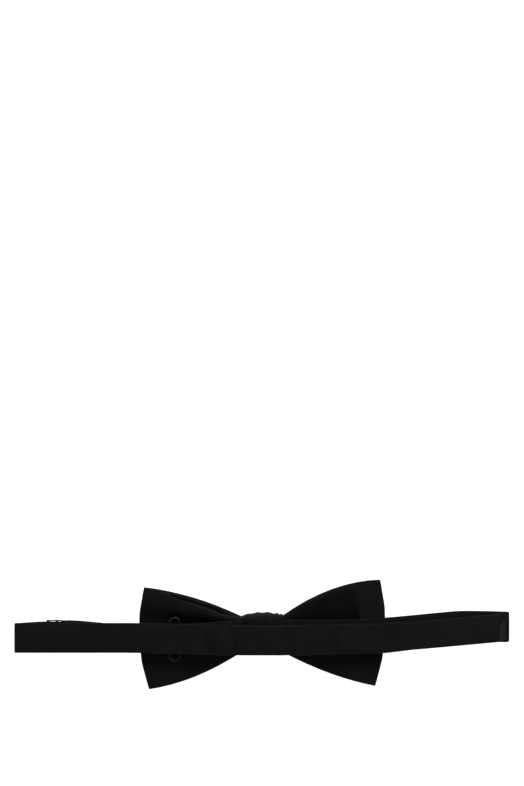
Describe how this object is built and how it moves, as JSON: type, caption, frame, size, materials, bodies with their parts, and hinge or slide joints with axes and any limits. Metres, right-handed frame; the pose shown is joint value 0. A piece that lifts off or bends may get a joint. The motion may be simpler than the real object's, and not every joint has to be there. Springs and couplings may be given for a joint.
{
  "type": "bow tie",
  "caption": "Pre-tied black bow tie with a wrapped knot, on an adjustable neckband with slider, hook and eye, hooked shut and pressed flat",
  "frame": {"origin": "centre of the lying bow tie's footprint, on the surface that it rests on", "axes": "+X along the neckband, away from the hook and eye; +Y across the band, towards the bow's upper edge; +Z out of the bow's back, away from the surface that its front lies on"},
  "size_m": [0.2436, 0.0537, 0.0143],
  "materials": {
    "bow_cloth": "fine woven, soft satin sheen",
    "band_cloth": "fine woven, soft satin sheen",
    "interlining": "matt felt",
    "thread": "matt spun thread",
    "enamelled_metal": "gloss black enamel"
  },
  "bodies": {
    "bow": {"front_bow_cover": "bow_cloth", "front_bow_interlining": "interlining", "back_bow_cover": "bow_cloth", "back_bow_interlining": "interlining", "gather_thread": "thread", "knot_wrap": "bow_cloth", "knot_interlining": "interlining", "knot_stitches": "thread", "front_run_cover": "band_cloth", "front_run_interlining": "interlining", "eye_loop": "band_cloth", "eye_bar_tack": "thread", "join_lap": "band_cloth", "join_stitches": "thread", "right_fold": "band_cloth"},
    "back_run": {"back_run_cover": "band_cloth", "back_run_interlining": "interlining", "left_fold": "band_cloth"},
    "side_run": {"side_run_cover": "band_cloth", "side_run_interlining": "interlining", "hook_loop": "band_cloth", "turnback_run": "band_cloth"},
    "eye": {"eye_ring": "enamelled_metal"},
    "hook": {"hook": "enamelled_metal"},
    "slider": {"slider_frame": "enamelled_metal", "slider_end_loop": "band_cloth", "slider_bar_tack": "thread"}
  },
  "joints": [
    {"name": "band_open", "type": "hinge", "parent": "bow", "child": "back_run", "pos_m": [0.1214, 0, 0.0018], "axis": [0, 1, 0], "range_deg": [0, 170], "deforming": ["right_fold"]},
    {"name": "band_unfold", "type": "hinge", "parent": "back_run", "child": "side_run", "pos_m": [-0.1212, 0, 0.0033], "axis": [0, 1, 0], "range_deg": [0, 170], "deforming": ["left_fold"]},
    {"name": "hook_swing", "type": "hinge", "parent": "side_run", "child": "hook", "pos_m": [-0.052, -0.0016, 0.00709], "axis": [0, 1, 0], "range_deg": [0, 25.5]},
    {"name": "eye_swing", "type": "hinge", "parent": "bow", "child": "eye", "pos_m": [-0.04035, -0.0019, 0.0082], "axis": [0, 1, 0], "range_deg": [-17, 0]},
    {"name": "slider_slide", "type": "slide", "parent": "side_run", "child": "slider", "axis": [0.996, -0.0199, 0.0874], "range_m": [0, 0.034], "deforming": ["turnback_run"]}
  ],
  "couplings": [
    {"joint": "band_unfold", "follows": "band_open", "ratio": 1},
    {"joint": "hook_swing", "follows": "band_open", "ratio": 0.15},
    {"joint": "eye_swing", "follows": "band_open", "ratio": -0.1}
  ]
}
